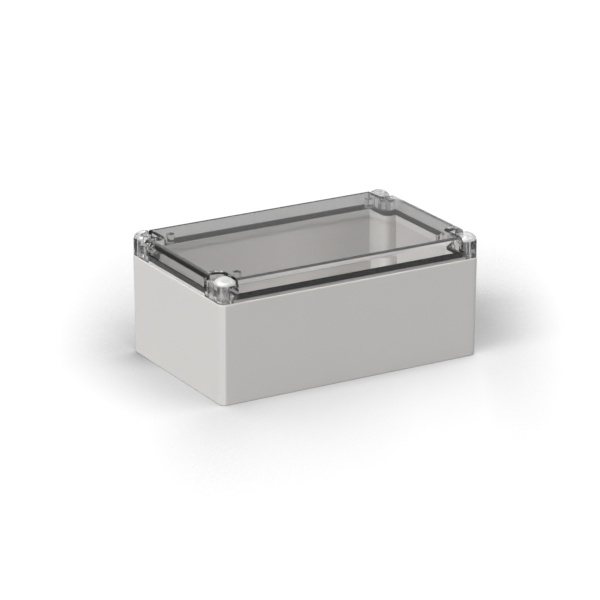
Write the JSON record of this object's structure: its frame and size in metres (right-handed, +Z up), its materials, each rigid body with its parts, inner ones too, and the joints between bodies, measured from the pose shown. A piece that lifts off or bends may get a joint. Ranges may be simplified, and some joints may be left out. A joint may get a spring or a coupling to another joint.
{
  "type": "wall enclosure",
  "caption": "Rectangular moulded plastic wall box with a clear lift-off cover, a black rim seal and captive quarter-turn corner locks, for small electrical gear.",
  "frame": {"origin": "centre of the underside, on the surface that the box stands on or is fixed to", "axes": "+X along the length, +Y along the depth, +Z up through the cover"},
  "size_m": [0.192, 0.121, 0.0838],
  "materials": {
    "base_plastic": "fine moulded texture, light grey",
    "clear_plastic": "clear, polished",
    "seal_rubber": "matt black",
    "lock_plastic": "clear, polished",
    "clip_steel": "spring steel"
  },
  "bodies": {
    "base": {"base_box": "base_plastic"},
    "cover": {"cover": "clear_plastic", "cover_seal": "seal_rubber"},
    "front_left_lock": {"lock_front_left": "lock_plastic", "clip_front_left": "clip_steel"},
    "front_right_lock": {"lock_front_right": "lock_plastic", "clip_front_right": "clip_steel"},
    "back_left_lock": {"lock_back_left": "lock_plastic", "clip_back_left": "clip_steel"},
    "back_right_lock": {"lock_back_right": "lock_plastic", "clip_back_right": "clip_steel"}
  },
  "joints": [
    {"name": "cover_lift", "type": "slide", "parent": "base", "child": "cover", "axis": [0, 0, 1], "range_m": [0, 0.06]},
    {"name": "front_left_lock_turn", "type": "hinge", "parent": "cover", "child": "front_left_lock", "pos_m": [-0.0892, -0.0537, 0.079], "axis": [0, 0, -1], "range_deg": [0, 90]},
    {"name": "front_right_lock_turn", "type": "hinge", "parent": "cover", "child": "front_right_lock", "pos_m": [0.0892, -0.0537, 0.079], "axis": [0, 0, 1], "range_deg": [0, 90]},
    {"name": "back_left_lock_turn", "type": "hinge", "parent": "cover", "child": "back_left_lock", "pos_m": [-0.0892, 0.0537, 0.079], "axis": [0, 0, 1], "range_deg": [0, 90]},
    {"name": "back_right_lock_turn", "type": "hinge", "parent": "cover", "child": "back_right_lock", "pos_m": [0.0892, 0.0537, 0.079], "axis": [0, 0, -1], "range_deg": [0, 90]}
  ]
}
